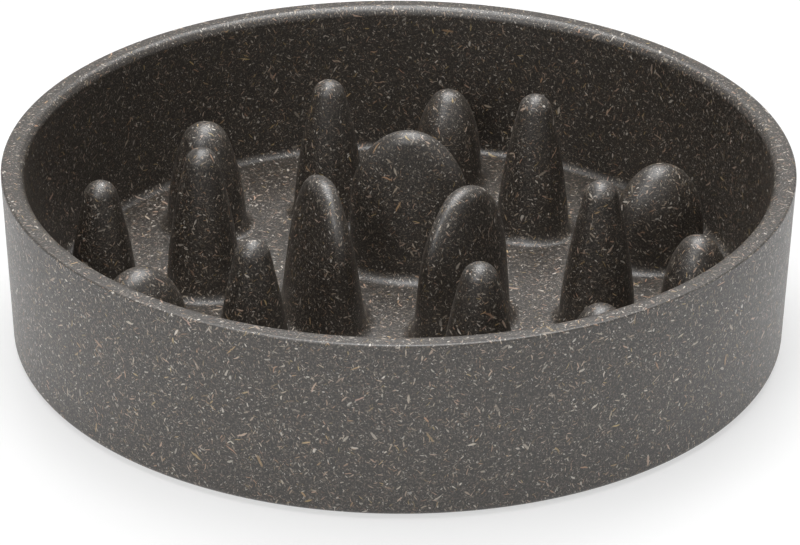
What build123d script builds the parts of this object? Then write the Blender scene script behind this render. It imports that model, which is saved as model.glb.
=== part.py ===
"""Slow feeder bowl: a round bowl of fibre composite with rings of blunt fingers on its floor.

Millimetres, +Z up, origin on the resting plane under the middle of the bowl, front towards -Y.
The bowl is laid out from the middle outwards: the rings of fingers set the floor, and the floor sets the rim.
"""

import os
from dataclasses import dataclass
from math import cos, hypot, radians, sin, tan

from build123d import *

# Bowl
body_height = 46.0
floor_top = 4.0
floor_thickness = 3.2
wall_thickness = 5.7
outer_draft = 1.6
inner_draft = 2.44
rim_inner_round = 2.5
rim_outer_round = 0.6
base_round = 1.8
floor_fillet = 2.6
base_ledge = 1.0
ledge_round = 0.4

# Feet
foot_diameter = 10.0
foot_pocket_depth = 1.2
foot_stand = 0.8
foot_fit = 0.1
foot_edge_round = 0.3
foot_inset = 2.5
foot_count = 4
foot_first_angle = 62.0

# What every finger shares
finger_draft = 2.0
finger_fillet = 2.5
finger_skirt = 0.3
finger_wall = 3.2
core_tip_radius = 1.8
core_cap = 6.0

# Inner ring: broad domes set across the radius
inner_half_length = 15.7
inner_half_width = 10.6
inner_drop = 3.0
inner_tip_radius = 4.4
inner_shoulder = 26.0
inner_lane = 5.4
inner_first_angle = 82.0
inner_count = 3

# Middle ring: tall cones, each with its own step outwards
cone_half_width = 9.8
cone_drop = 2.7
cone_tip_radius = 4.4
cone_shoulder = 13.0
middle_lane = 4.45
middle_first_angle = 50.0
middle_steps = (4.8, 3.5, 0.0, 3.8, 6.0, 0.4)

# Outer ring: low fingers, each with its form, its angle and its step inwards from the ring
outer_lane = 0.7
outer_margin = 0.3
outer_layout = (
    ("long stub", 21.0, 3.5),
    ("stub", 79.5, 3.2),
    ("post", 139.5, 9.0),
    ("pin", 174.4, 0.0),
    ("long stub", 208.2, 4.5),
    ("stub", 260.0, 3.2),
    ("stub", 313.5, 5.6),
    ("stub", 349.0, 0.0),
)
stub_half_width = 9.5
stub_half_length = 12.6
stub_height = 27.0
stub_tip_radius = 5.5
stub_shoulder = 33.0
post_half_width = 10.8
post_height = 30.0
post_tip_radius = 5.0
post_shoulder = 20.0
pin_half_width = 8.7
pin_height = 30.5

base_z = foot_stand
floor_z = base_z + floor_top
underside_z = floor_z - floor_thickness
rim_z = base_z + body_height


@dataclass
class Finger:
    """A finger's form: height over the floor, half sizes at its foot, tip radius and shoulder slope."""

    height: float
    half_length: float
    half_width: float
    tip_radius: float
    shoulder: float

    @property
    def stretch(self):
        return self.half_length / self.half_width

    @property
    def foot_width(self):
        return self.half_width + finger_fillet + finger_skirt

    @property
    def foot_length(self):
        return self.foot_width * self.stretch


@dataclass
class Place:
    """Where a finger stands: ring radius, angle round the bowl and heading of its long side."""

    radius: float
    angle: float
    heading: float

    @property
    def location(self):
        x = self.radius * cos(radians(self.angle))
        y = self.radius * sin(radians(self.angle))
        return Location((x, y, 0), (0, 0, self.heading))


# The forms
tall_height = body_height - floor_top
dome = Finger(tall_height - inner_drop, inner_half_length, inner_half_width, inner_tip_radius, inner_shoulder)
cone = Finger(tall_height - cone_drop, cone_half_width, cone_half_width, cone_tip_radius, cone_shoulder)
outer_forms = {
    "stub": Finger(stub_height, stub_half_width, stub_half_width, stub_tip_radius, stub_shoulder),
    "long stub": Finger(stub_height, stub_half_length, stub_half_width, stub_tip_radius, stub_shoulder),
    "post": Finger(post_height, post_half_width, post_half_width, post_tip_radius, post_shoulder),
    "pin": Finger(pin_height, pin_half_width, pin_half_width, cone_tip_radius, cone_shoulder),
}

# Ring radii: each ring clears the one inside it by its lane
sector = radians(180 / inner_count)
dome_reach = hypot(dome.foot_length * cos(sector), dome.foot_width * sin(sector))
inner_radius = (dome_reach + inner_lane / 2) / sin(sector)
middle_radius = inner_radius + dome.foot_width + middle_lane + cone.foot_width
outer_foot = max(outer_forms["stub"].foot_width, outer_forms["pin"].foot_width)
outer_radius = middle_radius + cone.foot_width + outer_lane + outer_foot

fingers = {}
for number in range(inner_count):
    angle = inner_first_angle + number * 360 / inner_count
    fingers[f"inner_finger_{number + 1}"] = (dome, Place(inner_radius, angle, angle + 90))
for number, step in enumerate(middle_steps):
    angle = middle_first_angle + number * 360 / len(middle_steps)
    fingers[f"middle_finger_{number + 1}"] = (cone, Place(middle_radius + step, angle, 0))
for number, (form, angle, step) in enumerate(outer_layout):
    fingers[f"outer_finger_{number + 1}"] = (outer_forms[form], Place(outer_radius - step, angle, angle))

# The wall stands just outside the foot of the outermost finger
floor_radius = max(place.radius + form.foot_length for form, place in fingers.values()) + outer_margin
inner_wall_radius = floor_radius + floor_fillet
rim_inner_radius = inner_wall_radius + tall_height * tan(radians(inner_draft))
rim_radius = rim_inner_radius + wall_thickness
base_radius = rim_radius - body_height * tan(radians(outer_draft))
foot_ring_radius = floor_radius - foot_inset - foot_diameter / 2


def make_finger(form):
    """A hollow finger standing on the origin: tip, side, filleted foot and the plug through the floor."""
    core_foot = form.half_width - finger_wall
    core_top = form.height - core_cap
    draft = radians(finger_draft)
    with BuildPart() as finger:
        with BuildSketch(Plane.XZ) as section:
            with BuildLine():
                cap = JernArc((0, form.height), (1, 0), form.tip_radius, form.shoulder - 90)
                side = Spline(cap @ 1, (form.half_width, 0), tangents=(cap % 1, (sin(draft), -cos(draft))))
                Polyline(
                    side @ 1,
                    (form.foot_width, 0),
                    (form.foot_width, -floor_thickness),
                    (core_foot, -floor_thickness),
                    (core_tip_radius, core_top),
                    (0, core_top),
                    (0, form.height),
                )
            make_face()
            foot = section.vertices().sort_by_distance((form.half_width, 0, 0))[0]
            fillet(foot, finger_fillet)
        revolve(axis=Axis.Z)
        if form.stretch != 1:
            scale(by=(form.stretch, 1, 1), about=(0, 0, 0))
    return finger.part


os.makedirs("parts", exist_ok=True)

# Wall: a drafted ring with a flat rim, a rounded base edge and the fillet that runs into the floor
with BuildPart() as bowl_wall:
    with BuildSketch(Plane.XZ) as wall_section:
        with BuildLine():
            Polyline(
                (floor_radius, underside_z),
                (floor_radius, floor_z),
                (inner_wall_radius, floor_z),
                (rim_inner_radius, rim_z),
                (rim_radius, rim_z),
                (base_radius, base_z),
                (floor_radius + base_ledge, base_z),
                (floor_radius + base_ledge, underside_z),
                close=True,
            )
        make_face()
        for corner, radius in (
            ((inner_wall_radius, floor_z), floor_fillet),
            ((rim_inner_radius, rim_z), rim_inner_round),
            ((rim_radius, rim_z), rim_outer_round),
            ((base_radius, base_z), base_round),
            ((floor_radius + base_ledge, base_z), ledge_round),
        ):
            fillet(wall_section.vertices().sort_by_distance(corner)[0], radius)
    revolve(axis=Axis.Z)
bowl_wall.part.label = "bowl_wall"
export_step(bowl_wall.part, "parts/bowl_wall.step")

# Floor: a disc with a hole for each finger's plug and a pocket for each foot
with BuildPart() as bowl_floor:
    with BuildSketch(Plane.XY.offset(underside_z)):
        Circle(floor_radius)
        for form, place in fingers.values():
            with Locations(place.location):
                if form.stretch == 1:
                    Circle(form.foot_width, mode=Mode.SUBTRACT)
                else:
                    Ellipse(form.foot_length, form.foot_width, mode=Mode.SUBTRACT)
    extrude(amount=floor_thickness)
    with BuildSketch(Plane.XY.offset(underside_z)):
        with PolarLocations(foot_ring_radius, foot_count, foot_first_angle):
            Circle(foot_diameter / 2 + foot_fit)
    extrude(amount=foot_pocket_depth, mode=Mode.SUBTRACT)
bowl_floor.part.label = "bowl_floor"
export_step(bowl_floor.part, "parts/bowl_floor.step")

# Fingers: one per place, its plug filling the hole in the floor
for name, (form, place) in fingers.items():
    piece = Pos(0, 0, floor_z) * place.location * make_finger(form)
    piece.label = name
    export_step(piece, f"parts/{name}.step")

# Feet: round silicone pads seated in the floor's pockets
for number in range(foot_count):
    angle = radians(foot_first_angle + number * 360 / foot_count)
    spot = (foot_ring_radius * cos(angle), foot_ring_radius * sin(angle), 0)
    with BuildPart() as foot_pad:
        with BuildSketch(Plane(origin=spot)):
            Circle(foot_diameter / 2)
        extrude(amount=underside_z + foot_pocket_depth)
        fillet(foot_pad.edges().group_by(Axis.Z)[0], foot_edge_round)
    foot_pad.part.label = f"foot_{number + 1}"
    export_step(foot_pad.part, f"parts/foot_{number + 1}.step")

print(f"rim diameter {2 * rim_radius:.2f}, base diameter {2 * base_radius:.2f}, height {rim_z:.2f}")
print(f"rings of fingers at {inner_radius:.2f}, {middle_radius:.2f} and {outer_radius:.2f}")
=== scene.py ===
"""Slow feeder bowl: fine skins for each piece, a flecked fibre composite, and soft studio light.

The pieces are worked out in millimetres and degrees, and mesh_object() turns them into metres.
The stage, the lamps and the camera are in metres.
"""

from dataclasses import dataclass
from math import cos, pi, radians, sin, tan

import bpy
import numpy as np
from mathutils import Matrix, Vector
from mathutils.geometry import delaunay_2d_cdt


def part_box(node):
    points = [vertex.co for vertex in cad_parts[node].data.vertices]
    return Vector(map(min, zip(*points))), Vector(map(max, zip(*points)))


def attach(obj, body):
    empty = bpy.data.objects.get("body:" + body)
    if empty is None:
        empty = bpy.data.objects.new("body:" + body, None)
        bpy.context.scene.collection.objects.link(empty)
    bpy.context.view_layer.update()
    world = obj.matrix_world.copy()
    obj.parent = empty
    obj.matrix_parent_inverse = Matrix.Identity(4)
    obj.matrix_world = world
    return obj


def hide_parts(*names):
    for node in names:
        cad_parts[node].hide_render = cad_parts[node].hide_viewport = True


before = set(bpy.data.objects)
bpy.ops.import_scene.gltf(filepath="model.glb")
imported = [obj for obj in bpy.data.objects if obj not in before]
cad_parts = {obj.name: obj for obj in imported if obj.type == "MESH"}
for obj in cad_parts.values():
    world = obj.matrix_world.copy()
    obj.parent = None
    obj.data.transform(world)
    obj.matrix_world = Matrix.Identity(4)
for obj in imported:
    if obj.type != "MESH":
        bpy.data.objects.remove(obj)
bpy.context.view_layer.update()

MM = 0.001
BODY = "root"
SHARP_ANGLE = 40

# Rounded profiles: steps in each round, and how far from it a support point stands
ARC_STEPS = 10
SUPPORT = 0.25

# Wall
WALL_SEGMENTS = 288
WALL_THICKNESS = 5.7
OUTER_DRAFT = 1.6
RIM_INNER_ROUND = 2.5
RIM_OUTER_ROUND = 0.6
BASE_ROUND = 1.8
FLOOR_FILLET = 2.6
BASE_LEDGE = 1.0
LEDGE_ROUND = 0.4

# Floor: the triangulation keeps what lies inside the outline and joins points closer than this
INSIDE_OUTLINE = 1
JOIN_DISTANCE = 1e-7

# Fingers, each with a filleted foot and a hollow core
INNER_COUNT = 3
FINGER_SEGMENTS = 96
TIP_STEPS = 12
SIDE_STEPS = 22
FOOT_STEPS = 10
CORE_STEPS = 6
FOOT_FILLET = 2.5
FOOT_SKIRT = 0.3
FINGER_DRAFT = 2.0
CORE_WALL = 3.2
CORE_CAP = 6.0
CORE_TIP = 1.8
CORE_ROUND = 1.2

# Pads under the floor
PAD_COUNT = 4
PAD_SEGMENTS = 64
PAD_FIT = 0.1
PAD_POCKET = 1.2
PAD_EDGE = 0.3
PAD_BEND = 0.6
PAD_DISH_DEPTH = 0.12

# Radii on a pad, as shares of its own: where its flat rim ends, its dish begins and its skin closes
PAD_RIM = 0.74
PAD_DISH = 0.6
PAD_CORE = 0.3

# Composite: colours by place on a ramp, noise scales per millimetre and lengths in millimetres
GROUND_COLOURS = (
    (0.32, (0.0076, 0.0064, 0.0051)),
    (0.50, (0.026, 0.021, 0.0168)),
    (0.66, (0.120, 0.101, 0.081)),
)
FLECK_COLOURS = (
    (0.00, (0.80, 0.75, 0.68)),
    (0.45, (0.68, 0.61, 0.52)),
    (0.66, (0.50, 0.41, 0.31)),
    (0.80, (0.66, 0.49, 0.38)),
    (0.90, (0.50, 0.29, 0.18)),
    (0.96, (0.62, 0.47, 0.21)),
    (1.00, (0.62, 0.40, 0.33)),
)
CLOUD_COLOUR = (0.034, 0.026, 0.019, 1)
CLOUD_SPAN = (0.35, 0.65)
CLOUD_SHARE = 0.25
CLOUD_SCALE = 0.05
MOTTLE_SCALE = 2.2
WARP_SCALE = 0.8
WARP_REACH = 0.55
SATIN_SCALE = 0.6
SATIN_ROUGHNESS = (0.37, 0.47)
FLECK_ROUGHNESS = 0.06
COMPOSITE_SPECULAR = 0.9
RELIEF_SCALE = 1.6
RELIEF_STRENGTH = 0.35
RELIEF_DEPTH = 0.12

# Flecks: direction of a layer's shift, spread of lengths and widths, depth in cells, soft edge, faintest one
FLECK_SHIFT = (1.0, 1.7, 2.3)
FLECK_LENGTHS = (0.45, 1.5)
FLECK_WIDTHS = (0.6, 1.4)
FLECK_DEPTH = 0.55
FLECK_EDGE = (0.45, 1.1)
FLECK_FAINTEST = 0.3

# Silicone
SILICONE_COLOURS = (
    (0.35, (0.030, 0.030, 0.031)),
    (0.70, (0.055, 0.054, 0.053)),
)
SILICONE_ROUGHNESS = (0.52, 0.68)
BLOOM_SCALE = 0.7
GRAIN_SCALE = 9.0
GRAIN_STRENGTH = 0.25
GRAIN_DEPTH = 0.05

# Noise: its mean, the span that most of its values lie in, and the roughness of a busy one
NOISE_MEAN = (0.5, 0.5, 0.5)
NOISE_SPAN = (0.3, 0.7)
BUSY = 0.6

# Stage floor: its own colour, then what shows near the bowl and how it fades into plain white
WHITE = (1, 1, 1, 1)
BLACK = (0, 0, 0, 1)
STAGE_SIZE = 3.0
STAGE_COLOUR = (0.8, 0.8, 0.8, 1)
STAGE_NEAR_COLOUR = (0.4, 0.4, 0.4, 1)
STAGE_GLOW = (0.60, 1.0)
STAGE_FADE = (0.35, 1.3)
STAGE_ROUGHNESS = 0.9
STAGE_SPECULAR = 0.1

# Room, as strengths where 1 is white, and where in the gloss its horizon ends and its front is reached
ROOM_LIGHT = 0.01
CEILING = 0.40
FRONT_WALL = 0.74
HORIZON_TOP = 0.12
FRONT_REACH = -0.4

# Camera: looks at the middle of the base from the front
CAMERA_ELEVATION = 28.31
CAMERA_DISTANCE = 0.88
CAMERA_LENS = 153.08
CAMERA_SENSOR = 36.0
CAMERA_CLIP = (0.01, 20.0)
CAMERA_AIM_UP = 0.727
CAMERA_AIM_RIGHT = 0.036
CAMERA_ROLL = 0.352


@dataclass
class Form:
    """A finger's form: half sizes at its foot, tip radius and shoulder slope of its side.

    An arched one has a crown of that depth along its length, and may have a side of its own width and draft.
    """

    half_length: float
    half_width: float
    tip_radius: float
    shoulder: float
    arch: float = 0.0
    side_width: float = 0.0
    side_draft: float = FINGER_DRAFT

    @property
    def stretch(self):
        return self.half_length / self.half_width

    @property
    def foot_width(self):
        return self.half_width + FOOT_FILLET + FOOT_SKIRT

    @property
    def foot_length(self):
        return self.foot_width * self.stretch


@dataclass
class Flecks:
    """A layer of flecks: spacing, half sizes, share of places that hold one, shift and strength."""

    cell: float
    length: float
    width: float
    share: float
    shift: float
    strength: float


@dataclass
class Lamp:
    """A soft box: its place, its two sides, its power in watts and its colour."""

    name: str
    spot: tuple
    size: tuple
    power: float
    colour: tuple = (1, 1, 1)


DOME = Form(15.7, 10.6, 3.4, 12.0, arch=21.5, side_width=10.1, side_draft=7.0)
CONE = Form(9.8, 9.8, 4.4, 13.0)
OGIVE = Form(9.8, 9.8, 4.6, 16.0)
STUB = Form(9.5, 9.5, 5.5, 33.0)
LONG_STUB = Form(12.6, 9.5, 5.5, 33.0, arch=19.0)
POST = Form(10.8, 10.8, 6.4, 20.0)
PIN = Form(8.7, 8.7, 4.4, 13.0)
MIDDLE_FORMS = (CONE, CONE, CONE, CONE, OGIVE, CONE)
OUTER_FORMS = (LONG_STUB, STUB, POST, PIN, LONG_STUB, STUB, STUB, STUB)

FLECK_LAYERS = (
    Flecks(0.70, 0.32, 0.115, 0.60, 11.0, 0.50),
    Flecks(1.15, 0.56, 0.140, 0.48, 37.0, 0.80),
    Flecks(1.80, 0.80, 0.180, 0.36, 71.0, 0.95),
    Flecks(4.20, 1.30, 0.290, 0.28, 113.0, 1.0),
)

# Soft boxes overhead, above and behind and from the front left, and low strips in front and at both sides
LAMP_TARGET = (0, 0, 0.02)
COOL = (0.90, 0.94, 1.0)
LAMPS = (
    Lamp("light_key", (-0.06, -0.08, 1.2), (0.8, 0.8), 10.5),
    Lamp("light_back", (0.05, 0.55, 1.05), (0.8, 0.6), 8.3),
    Lamp("light_left", (-0.45, -0.80, 0.70), (0.35, 0.35), 2.3),
    Lamp("light_low", (0.0, -1.2, 0.05), (1.4, 0.09), 0.4),
    Lamp("light_side_1", (-1.1, 0.0, 0.024), (1.0, 0.045), 2.0, COOL),
    Lamp("light_side_2", (1.1, 0.0, 0.024), (1.0, 0.045), 2.0, COOL),
)


def box_mm(node):
    """Low and high corner of a CAD node in millimetres."""
    low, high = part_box(node)
    return low / MM, high / MM


def mesh_object(name, points, faces):
    """A smooth-shaded object from points in millimetres, with its corners kept sharp."""
    mesh = bpy.data.meshes.new(name)
    mesh.from_pydata([tuple(p) for p in np.asarray(points) * MM], [], faces)
    mesh.validate()
    mesh.shade_smooth()
    mesh.set_sharp_from_angle(angle=radians(SHARP_ANGLE))
    piece = bpy.data.objects.new(name, mesh)
    bpy.context.scene.collection.objects.link(piece)
    return piece


def ring_strip(first, second, count):
    """Quads between two rings whose points start at the given indices."""
    quads = []
    for i in range(count):
        j = (i + 1) % count
        quads.append((first + i, first + j, second + j, second + i))
    return quads


def loft(name, rings, start=None, end=None, closed=False):
    """A skin over rings down its outside, closed by a point at either end or back to the first ring."""
    count = len(rings[0])
    points = np.concatenate(rings)
    faces = []
    for k in range(len(rings) - 1):
        faces += ring_strip((k + 1) * count, k * count, count)
    last = (len(rings) - 1) * count
    if closed:
        faces += ring_strip(0, last, count)
    if start is not None:
        tip = len(points)
        points = np.vstack([points, start])
        faces += [(tip, i, (i + 1) % count) for i in range(count)]
    if end is not None:
        tip = len(points)
        points = np.vstack([points, end])
        faces += [(tip, last + (i + 1) % count, last + i) for i in range(count)]
    return mesh_object(name, points, faces)


def ellipse(centre, heading, half_length, half_width, z, count):
    """One ring of points: an ellipse round a centre with its long side along a heading in degrees."""
    turn = np.arange(count) * 2 * pi / count
    along = half_length * np.cos(turn)
    across = half_width * np.sin(turn)
    c, s = cos(radians(heading)), sin(radians(heading))
    x = centre[0] + along * c - across * s
    y = centre[1] + along * s + across * c
    return np.column_stack([x, y, np.full(count, z)])


def rounded(corners):
    """A profile with rounded corners, each given as (r, z, radius), and support points beside each round."""
    profile = []
    total = len(corners)
    for i, (r, z, radius) in enumerate(corners):
        here = Vector((r, z))
        if radius == 0:
            profile.append(here)
            continue
        before = Vector(corners[i - 1][:2])
        after = Vector(corners[(i + 1) % total][:2])
        back = (before - here).normalized()
        ahead = (after - here).normalized()
        half = back.angle(ahead) / 2
        reach = radius / tan(half)
        middle = here + (back + ahead).normalized() * (radius / sin(half))
        enter = here + back * reach
        leave = here + ahead * reach
        profile.append(enter + back * SUPPORT)
        for step in range(ARC_STEPS + 1):
            share = step / ARC_STEPS
            spoke = (enter - middle).normalized().slerp((leave - middle).normalized(), share)
            profile.append(middle + spoke * radius)
        profile.append(leave + ahead * SUPPORT)
    return profile


def lathe_rings(profile, centre, count):
    """Rings round a vertical axis from a profile of (r, z)."""
    return [ellipse(centre, 0, p[0], p[0], p[1], count) for p in profile]


def wall_piece():
    """The wall with its flat rim, rounded edges, base ring and the fillet that runs into the floor."""
    wall_low, wall_high = box_mm("bowl_wall")
    floor_low, floor_high = box_mm("bowl_floor")
    rim = wall_high.x
    floor_radius = floor_high.x
    inner_foot = floor_radius + FLOOR_FILLET
    rim_inner = rim - WALL_THICKNESS
    base = rim - (wall_high.z - wall_low.z) * tan(radians(OUTER_DRAFT))
    ledge = floor_radius + BASE_LEDGE
    profile = rounded([
        (floor_radius, floor_low.z, 0),
        (floor_radius, floor_high.z, 0),
        (inner_foot, floor_high.z, FLOOR_FILLET),
        (rim_inner, wall_high.z, RIM_INNER_ROUND),
        (rim, wall_high.z, RIM_OUTER_ROUND),
        (base, wall_low.z, BASE_ROUND),
        (ledge, wall_low.z, LEDGE_ROUND),
        (ledge, floor_low.z, 0),
    ])
    # The support point ahead of the floor fillet lies past this piece's edge, so it is left out
    profile = [p for p in profile if p.x >= floor_radius]
    return loft("wall", lathe_rings(profile, (0, 0), WALL_SEGMENTS), closed=True)


def side_profile(form, height):
    """(half width, height) down a finger's side, from below the tip to the floor."""
    width = form.side_width or form.half_width
    slope = radians(form.shoulder)
    draft = radians(form.side_draft)
    points = []
    for step in range(1, TIP_STEPS + 1):
        turn = (pi / 2 - slope) * step / TIP_STEPS
        points.append((form.tip_radius * sin(turn), height - form.tip_radius * (1 - cos(turn))))
    start = Vector(points[-1])
    stop = Vector((width, 0))
    chord = (stop - start).length
    leave = Vector((sin(slope), -cos(slope))) * chord
    arrive = Vector((sin(draft), -cos(draft))) * chord
    for step in range(1, SIDE_STEPS + 1):
        t = step / SIDE_STEPS
        point = start * (2 * t**3 - 3 * t**2 + 1) + leave * (t**3 - 2 * t**2 + t)
        point += stop * (3 * t**2 - 2 * t**3) + arrive * (t**3 - t**2)
        points.append(tuple(point))
    return points


def arch_length(form, height, z):
    """Half length of an arched finger at a height over the floor: an elliptic crown over a straight side."""
    depth = min(height - z, form.arch)
    return form.half_length * (1 - ((form.arch - depth) / form.arch) ** 2) ** 0.5


def finger_sections(form, height):
    """(half length, half width, z) down a finger: tip, side, fillet and skirt on the floor."""
    sections = []
    for width, z in side_profile(form, height):
        length = arch_length(form, height, z) if form.arch else width * form.stretch
        sections.append((length, width, z))
    # Rings below the top of the fillet give way to its arc
    sections = [s for s in sections if s[2] > FOOT_FILLET]
    top_length, top_width, top_z = sections[-1]
    flat_width = form.foot_width - FOOT_SKIRT
    flat_length = flat_width * form.stretch
    for step in range(1, FOOT_STEPS + 1):
        turn = pi / 2 * step / FOOT_STEPS
        out = 1 - cos(turn)
        z = top_z * (1 - sin(turn))
        length = top_length + (flat_length - top_length) * out
        width = top_width + (flat_width - top_width) * out
        sections.append((length, width, z))
    sections.append((form.foot_length, form.foot_width, 0.0))
    return sections


def core_sections(form, height, depth):
    """(half length, half width, z) up the hollow under a finger, from the underside to its blunt top."""
    foot = form.half_width - CORE_WALL
    top = height - CORE_CAP
    profile = []
    for step in range(CORE_STEPS + 1):
        turn = pi / 2 * step / CORE_STEPS
        profile.append((foot + CORE_ROUND * (1 - sin(turn)), -depth + CORE_ROUND * (1 - cos(turn))))
    for step in range(CORE_STEPS):
        turn = pi / 2 * step / CORE_STEPS
        profile.append((CORE_TIP * cos(turn), top - CORE_TIP * (1 - sin(turn))))
    return [(width * form.stretch, width, z) for width, z in profile]


def finger_place(name):
    """Centre in plan, floor height, height over the floor and depth under it, from the finger's box."""
    low, high = box_mm(name)
    floor = box_mm("bowl_floor")[1].z
    centre = ((low.x + high.x) / 2, (low.y + high.y) / 2)
    return centre, floor, high.z - floor, floor - low.z


def finger_heading(name, centre):
    """Heading of a finger's long side: across the radius in the inner ring, else along it."""
    turn = np.degrees(np.arctan2(centre[1], centre[0]))
    return turn + 90 if name.startswith("inner") else turn


def finger_piece(name, form):
    """A finger as one closed skin: outside, plug through the floor, underside and hollow."""
    centre, floor, height, depth = finger_place(name)
    heading = finger_heading(name, centre)
    sections = finger_sections(form, height)
    sections.append((form.foot_length, form.foot_width, -depth))
    sections += core_sections(form, height, depth)
    rings = []
    for length, width, z in sections:
        rings.append(ellipse(centre, heading, length, width, floor + z, FINGER_SEGMENTS))
    tip = (*centre, floor + height)
    core_top = (*centre, floor + height - CORE_CAP)
    return loft(f"{name}_skin", rings, start=tip, end=core_top)


def flat_face(outer, holes, z):
    """Points and triangles of a flat face with convex holes: no triangle has all its corners on one hole."""
    points, edges, owner = [], [], []
    for number, loop in enumerate([outer, *holes]):
        start, count = len(points), len(loop)
        points += [Vector(p[:2]) for p in loop]
        edges += [(start + i, start + (i + 1) % count) for i in range(count)]
        owner += [number] * count
    _, _, triangles, source, _, _ = delaunay_2d_cdt(points, edges, [], INSIDE_OUTLINE, JOIN_DISTANCE)
    faces = []
    for triangle in triangles:
        face = tuple(source[i][0] for i in triangle)
        owners = {owner[i] for i in face}
        if len(owners) > 1 or 0 in owners:
            faces.append(face)
    return [(p.x, p.y, z) for p in points], faces


def upright_face(loop, z_from, z_to):
    """Points and quads of the upright face between two heights of a loop."""
    count = len(loop)
    points = [(p[0], p[1], z) for z in (z_from, z_to) for p in loop]
    return points, ring_strip(0, count, count)


def turned(points, faces):
    """The same points, with the faces looking the other way."""
    return points, [tuple(reversed(face)) for face in faces]


def joined(name, parts):
    """One object from parts that are each (points, faces)."""
    points, faces = [], []
    for part_points, part_faces in parts:
        base = len(points)
        points += part_points
        faces += [tuple(base + i for i in face) for face in part_faces]
    return mesh_object(name, points, faces)


def plug_hole(name, form):
    """Outline of the hole in the floor for a finger's plug."""
    centre = finger_place(name)[0]
    heading = finger_heading(name, centre)
    return ellipse(centre, heading, form.foot_length, form.foot_width, 0, FINGER_SEGMENTS)


def foot_place(number):
    """Centre in plan, radius, and the heights of the underside and top, from a foot's box."""
    low, high = box_mm(f"foot_{number}")
    centre = ((low.x + high.x) / 2, (low.y + high.y) / 2)
    return centre, (high.x - low.x) / 2, low.z, high.z


def foot_pocket(number):
    """Outline of the pocket in the floor for a foot."""
    centre, radius, _, _ = foot_place(number)
    return ellipse(centre, 0, radius + PAD_FIT, radius + PAD_FIT, 0, PAD_SEGMENTS)


def floor_piece(forms):
    """The floor: a disc with a hole for each finger's plug and a pocket for each foot."""
    low, high = box_mm("bowl_floor")
    roof = low.z + PAD_POCKET
    outer = ellipse((0, 0), 0, high.x, high.x, 0, WALL_SEGMENTS)
    holes = [plug_hole(name, form) for name, form in forms.items()]
    pockets = [foot_pocket(number) for number in range(1, PAD_COUNT + 1)]
    parts = [
        flat_face(outer, holes, high.z),
        turned(*flat_face(outer, [*holes, *pockets], low.z)),
        upright_face(outer, low.z, high.z),
    ]
    parts += [upright_face(hole, high.z, low.z) for hole in holes]
    for pocket in pockets:
        parts.append(upright_face(pocket, roof, low.z))
        parts.append(turned(*flat_face(pocket, [], roof)))
    return joined("floor", parts)


def foot_piece(number):
    """A round pad with rounded edges and a slightly dished underside."""
    centre, radius, low, high = foot_place(number)
    dish = low + PAD_DISH_DEPTH
    profile = rounded([
        (radius * PAD_CORE, high, 0),
        (radius, high, PAD_EDGE),
        (radius, low, PAD_EDGE),
        (radius * PAD_RIM, low, PAD_BEND),
        (radius * PAD_DISH, dish, PAD_BEND),
        (radius * PAD_CORE, dish, 0),
    ])
    rings = lathe_rings(profile, centre, PAD_SEGMENTS)
    return loft(f"foot_pad_{number}", rings, start=(*centre, high), end=(*centre, dish))


class Tree:
    """Short calls for making shader nodes."""

    def __init__(self, tree):
        self.tree = tree

    def node(self, kind, **settings):
        made = self.tree.nodes.new(f"ShaderNode{kind}")
        for key, value in settings.items():
            setattr(made, key, value)
        return made

    def feed(self, socket, value):
        """Links a socket to another one, or sets it to a constant."""
        if isinstance(value, bpy.types.NodeSocket):
            self.tree.links.new(value, socket)
        elif value is not None:
            socket.default_value = value

    def math(self, operation, a, b):
        made = self.node("Math", operation=operation)
        self.feed(made.inputs[0], a)
        self.feed(made.inputs[1], b)
        return made.outputs[0]

    def vector(self, operation, a, b=None, scale=None):
        """Works on vectors, where the fourth socket is the factor that SCALE uses."""
        made = self.node("VectorMath", operation=operation)
        self.feed(made.inputs[0], a)
        self.feed(made.inputs[1], b)
        self.feed(made.inputs[3], scale)
        scalar = operation in ("DOT_PRODUCT", "LENGTH")
        return made.outputs["Value" if scalar else "Vector"]

    def remap(self, value, low, high, to_low=0.0, to_high=1.0, smooth=False):
        made = self.node("MapRange", interpolation_type="SMOOTHSTEP" if smooth else "LINEAR")
        for socket, given in zip(made.inputs, (value, low, high, to_low, to_high)):
            self.feed(socket, given)
        return made.outputs[0]

    def mix(self, factor, a, b):
        """Mixes two colours, whose sockets come after those of the node's other data types."""
        made = self.node("Mix", data_type="RGBA")
        self.feed(made.inputs[0], factor)
        self.feed(made.inputs[6], a)
        self.feed(made.inputs[7], b)
        return made.outputs[2]

    def ramp(self, value, stops):
        made = self.node("ValToRGB")
        ramp = made.color_ramp
        while len(ramp.elements) < len(stops):
            ramp.elements.new(1.0)
        for element, (place, colour) in zip(ramp.elements, stops):
            element.position = place
            element.color = (*colour, 1.0)
        self.feed(made.inputs[0], value)
        return made.outputs[0]

    def noise(self, vector, scale, detail=2.0, roughness=0.5):
        made = self.node("TexNoise")
        self.feed(made.inputs["Vector"], vector)
        made.inputs["Scale"].default_value = scale
        made.inputs["Detail"].default_value = detail
        made.inputs["Roughness"].default_value = roughness
        return made.outputs

    def spot(self):
        """The point on the piece in millimetres, in one frame for all pieces, so patterns run across them."""
        return self.vector("SCALE", self.node("TexCoord").outputs["Object"], scale=1 / MM)


def new_material(name):
    """A material, with calls for its nodes and its main shader."""
    material = bpy.data.materials.new(name)
    material.use_nodes = True
    return material, Tree(material.node_tree), material.node_tree.nodes["Principled BSDF"]


def add_relief(t, shader, height, strength, depth):
    """Bumps in the shading from a height pattern, with their depth in millimetres."""
    bump = t.node("Bump")
    bump.inputs["Strength"].default_value = strength
    bump.inputs["Distance"].default_value = depth * MM
    t.feed(bump.inputs["Height"], height)
    t.feed(shader.inputs["Normal"], bump.outputs["Normal"])


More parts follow.
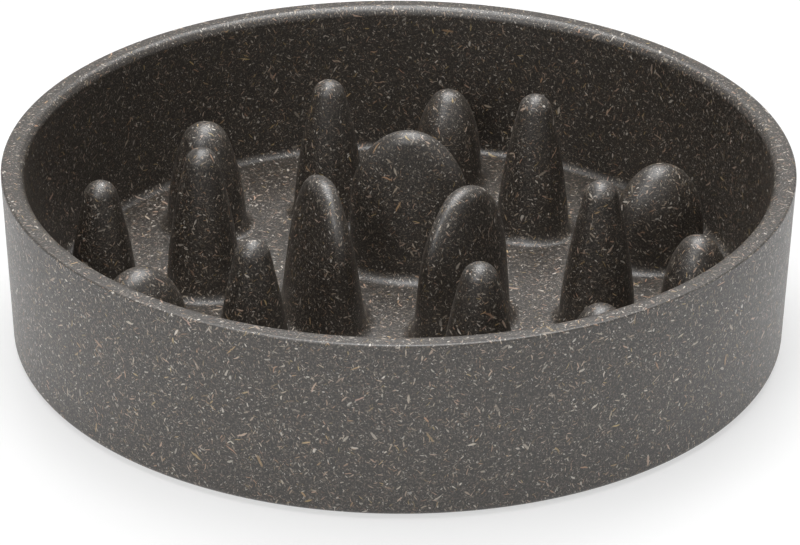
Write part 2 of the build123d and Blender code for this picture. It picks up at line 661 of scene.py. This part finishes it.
def lay_flat(t, vector, normal):
    """The part of a vector that lies in the surface, and its length along the normal."""
    deep = t.vector("DOT_PRODUCT", vector, normal)
    return t.vector("SUBTRACT", vector, t.vector("SCALE", normal, scale=deep)), deep


def fleck_layer(t, spot, normal, flecks):
    """Flecks lying in the surface, one at most round each cell's middle: (mask, random tone)."""
    moved = t.vector("ADD", spot, tuple(flecks.shift * part for part in FLECK_SHIFT))
    voronoi = t.node("TexVoronoi", voronoi_dimensions="3D", feature="F1")
    t.feed(voronoi.inputs["Vector"], moved)
    voronoi.inputs["Scale"].default_value = 1 / flecks.cell
    middle = voronoi.outputs["Position"]
    chance = t.node("TexWhiteNoise", noise_dimensions="3D")
    t.feed(chance.inputs["Vector"], middle)
    draws = t.node("SeparateColor")
    t.feed(draws.inputs[0], chance.outputs["Color"])
    length_draw, width_draw, share_draw = draws.outputs

    flat, deep = lay_flat(t, t.vector("SUBTRACT", moved, middle), normal)
    loose, _ = lay_flat(t, t.vector("SUBTRACT", voronoi.outputs["Color"], NOISE_MEAN), normal)
    grain = t.vector("NORMALIZE", loose)
    along = t.vector("DOT_PRODUCT", flat, grain)
    across = t.math("SUBTRACT", t.vector("DOT_PRODUCT", flat, flat), t.math("MULTIPLY", along, along))
    long_side = t.remap(length_draw, 0, 1, *(flecks.length * k for k in FLECK_LENGTHS))
    short_side = t.remap(width_draw, 0, 1, *(flecks.width * k for k in FLECK_WIDTHS))
    reach = t.math("POWER", t.math("DIVIDE", along, long_side), 2)
    spread = t.math("DIVIDE", across, t.math("MULTIPLY", short_side, short_side))
    depth = t.math("POWER", t.math("DIVIDE", deep, flecks.cell * FLECK_DEPTH), 2)
    ratio = t.math("ADD", t.math("ADD", reach, spread), depth)

    shape = t.remap(ratio, *FLECK_EDGE, 1.0, 0.0, smooth=True)
    kept = t.math("LESS_THAN", share_draw, flecks.share)
    strength = t.remap(share_draw, 0, flecks.share, 1.0, FLECK_FAINTEST)
    mask = t.math("MULTIPLY", shape, t.math("MULTIPLY", kept, strength))
    return t.math("MULTIPLY", mask, flecks.strength), chance.outputs["Value"]


def composite_colour(t, spot):
    """Mottled and clouded ground under all layers of flecks: (colour, mask of the flecks)."""
    normal = t.node("NewGeometry").outputs["Normal"]
    mottle = t.noise(spot, MOTTLE_SCALE, roughness=BUSY)[0]
    cloud = t.noise(spot, CLOUD_SCALE)[0]
    ground = t.ramp(mottle, GROUND_COLOURS)
    colour = t.mix(t.remap(cloud, *CLOUD_SPAN, 0.0, CLOUD_SHARE), ground, CLOUD_COLOUR)

    # The warp bends the flecks a little
    warp = t.vector("SUBTRACT", t.noise(spot, WARP_SCALE, detail=1.0)["Color"], NOISE_MEAN)
    bent = t.vector("ADD", spot, t.vector("SCALE", warp, scale=WARP_REACH))
    masks = []
    for flecks in FLECK_LAYERS:
        mask, tone = fleck_layer(t, bent, normal, flecks)
        colour = t.mix(mask, colour, t.ramp(tone, FLECK_COLOURS))
        masks.append(mask)
    covered = masks[0]
    for mask in masks[1:]:
        covered = t.math("MAXIMUM", covered, mask)
    return colour, covered


def composite_material():
    """Dark moulded composite full of plant fibres: flecks of several sizes in a satin brown-grey ground."""
    material, t, shader = new_material("fibre_composite")
    spot = t.spot()
    colour, covered = composite_colour(t, spot)
    t.feed(shader.inputs["Base Color"], colour)
    shader.inputs["Specular IOR Level"].default_value = COMPOSITE_SPECULAR
    satin = t.remap(t.noise(spot, SATIN_SCALE)[0], *NOISE_SPAN, *SATIN_ROUGHNESS)
    rough = t.math("ADD", satin, t.math("MULTIPLY", covered, FLECK_ROUGHNESS))
    t.feed(shader.inputs["Roughness"], rough)
    relief = t.noise(spot, RELIEF_SCALE, detail=3.0, roughness=BUSY)[0]
    add_relief(t, shader, relief, RELIEF_STRENGTH, RELIEF_DEPTH)
    return material


def silicone_material():
    """Dark matt silicone with a faint grain and a dusty bloom."""
    material, t, shader = new_material("silicone")
    spot = t.spot()
    bloom = t.noise(spot, BLOOM_SCALE, detail=4.0, roughness=BUSY)[0]
    t.feed(shader.inputs["Base Color"], t.ramp(bloom, SILICONE_COLOURS))
    t.feed(shader.inputs["Roughness"], t.remap(bloom, *NOISE_SPAN, *SILICONE_ROUGHNESS))
    add_relief(t, shader, t.noise(spot, GRAIN_SCALE)[0], GRAIN_STRENGTH, GRAIN_DEPTH)
    return material


def dress(piece, node, material):
    """Puts a piece in place of its CAD node, with its material."""
    piece.data.materials.append(material)
    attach(piece, BODY)
    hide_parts(node)


def stage_material():
    """A pale floor that the camera and the gloss see as white: lit close by, a plain white further out."""
    material, t, shader = new_material("stage_white")
    path = t.node("LightPath")
    seen = t.math("MAXIMUM", path.outputs["Is Camera Ray"], path.outputs["Is Glossy Ray"])
    seen = t.math("MAXIMUM", seen, path.outputs["Is Transmission Ray"])
    away = t.vector("LENGTH", t.node("TexCoord").outputs["Object"])
    far = t.remap(away, *STAGE_FADE, smooth=True)
    shown = t.mix(far, STAGE_NEAR_COLOUR, BLACK)
    t.feed(shader.inputs["Base Color"], t.mix(seen, STAGE_COLOUR, shown))
    shader.inputs["Roughness"].default_value = STAGE_ROUGHNESS
    shader.inputs["Specular IOR Level"].default_value = STAGE_SPECULAR
    shader.inputs["Emission Color"].default_value = WHITE
    glow = t.remap(far, 0, 1, *STAGE_GLOW)
    t.feed(shader.inputs["Emission Strength"], t.math("MULTIPLY", seen, glow))
    return material


def stage_floor():
    """A wide floor that shows white and keeps the bowl's shadow."""
    half = STAGE_SIZE / MM / 2
    corners = [(-half, -half, 0), (half, -half, 0), (half, half, 0), (-half, half, 0)]
    floor = mesh_object("stage_floor", corners, [(0, 1, 2, 3)])
    floor.data.materials.append(stage_material())


def surroundings():
    """A dim room that shows white: in the gloss it has a white horizon, a pale front and a darker ceiling."""
    world = bpy.data.worlds.new("room")
    bpy.context.scene.world = world
    world.use_nodes = True
    t = Tree(world.node_tree)
    background = world.node_tree.nodes["Background"]
    background.inputs["Color"].default_value = WHITE
    path = t.node("LightPath")
    gloss = t.math("MAXIMUM", path.outputs["Is Glossy Ray"], path.outputs["Is Transmission Ray"])
    split = t.node("SeparateXYZ")
    t.feed(split.inputs[0], t.node("TexCoord").outputs["Generated"])
    horizon = t.remap(split.outputs["Z"], 0.0, HORIZON_TOP, 1.0, CEILING)
    front = t.remap(split.outputs["Y"], 0.0, FRONT_REACH, 0.0, FRONT_WALL)
    shown = t.math("MULTIPLY", gloss, t.math("MAXIMUM", horizon, front))
    shown = t.math("MAXIMUM", shown, path.outputs["Is Camera Ray"])
    t.feed(background.inputs["Strength"], t.math("MAXIMUM", shown, ROOM_LIGHT))


def soft_light(lamp):
    """A rectangular soft box aimed at the bowl."""
    light = bpy.data.lights.new(lamp.name, "AREA")
    light.shape = "RECTANGLE"
    light.size, light.size_y = lamp.size
    light.energy = lamp.power
    light.color = lamp.colour
    holder = bpy.data.objects.new(lamp.name, light)
    holder.location = lamp.spot
    aim = Vector(LAMP_TARGET) - Vector(lamp.spot)
    holder.rotation_euler = aim.to_track_quat("-Z", "Y").to_euler()
    bpy.context.scene.collection.objects.link(holder)


def camera():
    """At the photograph's viewing angle, aimed a little above the middle of the base."""
    target = Vector((0, 0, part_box("bowl_wall")[0].z))
    tilt = radians(CAMERA_ELEVATION)
    spot = target + CAMERA_DISTANCE * Vector((0, -cos(tilt), sin(tilt)))
    turn = Matrix.Rotation(radians(-CAMERA_AIM_RIGHT), 4, "Z")
    turn @= Matrix.Rotation(pi / 2 - tilt + radians(CAMERA_AIM_UP), 4, "X")
    turn @= Matrix.Rotation(radians(CAMERA_ROLL), 4, "Z")
    data = bpy.data.cameras.new("camera")
    data.lens = CAMERA_LENS
    data.sensor_width = CAMERA_SENSOR
    data.clip_start, data.clip_end = CAMERA_CLIP
    holder = bpy.data.objects.new("camera", data)
    holder.matrix_world = Matrix.Translation(spot) @ turn
    bpy.context.scene.collection.objects.link(holder)
    bpy.context.scene.camera = holder


def build():
    """Makes every piece and puts it in place of its node."""
    composite = composite_material()
    silicone = silicone_material()
    forms = {f"inner_finger_{n}": DOME for n in range(1, INNER_COUNT + 1)}
    forms |= {f"middle_finger_{n}": form for n, form in enumerate(MIDDLE_FORMS, 1)}
    forms |= {f"outer_finger_{n}": form for n, form in enumerate(OUTER_FORMS, 1)}
    dress(wall_piece(), "bowl_wall", composite)
    dress(floor_piece(forms), "bowl_floor", composite)
    for name, form in forms.items():
        dress(finger_piece(name, form), name, composite)
    for number in range(1, PAD_COUNT + 1):
        dress(foot_piece(number), f"foot_{number}", silicone)


build()
stage_floor()
surroundings()
for lamp in LAMPS:
    soft_light(lamp)
camera()
bpy.context.scene.view_settings.view_transform = "Standard"
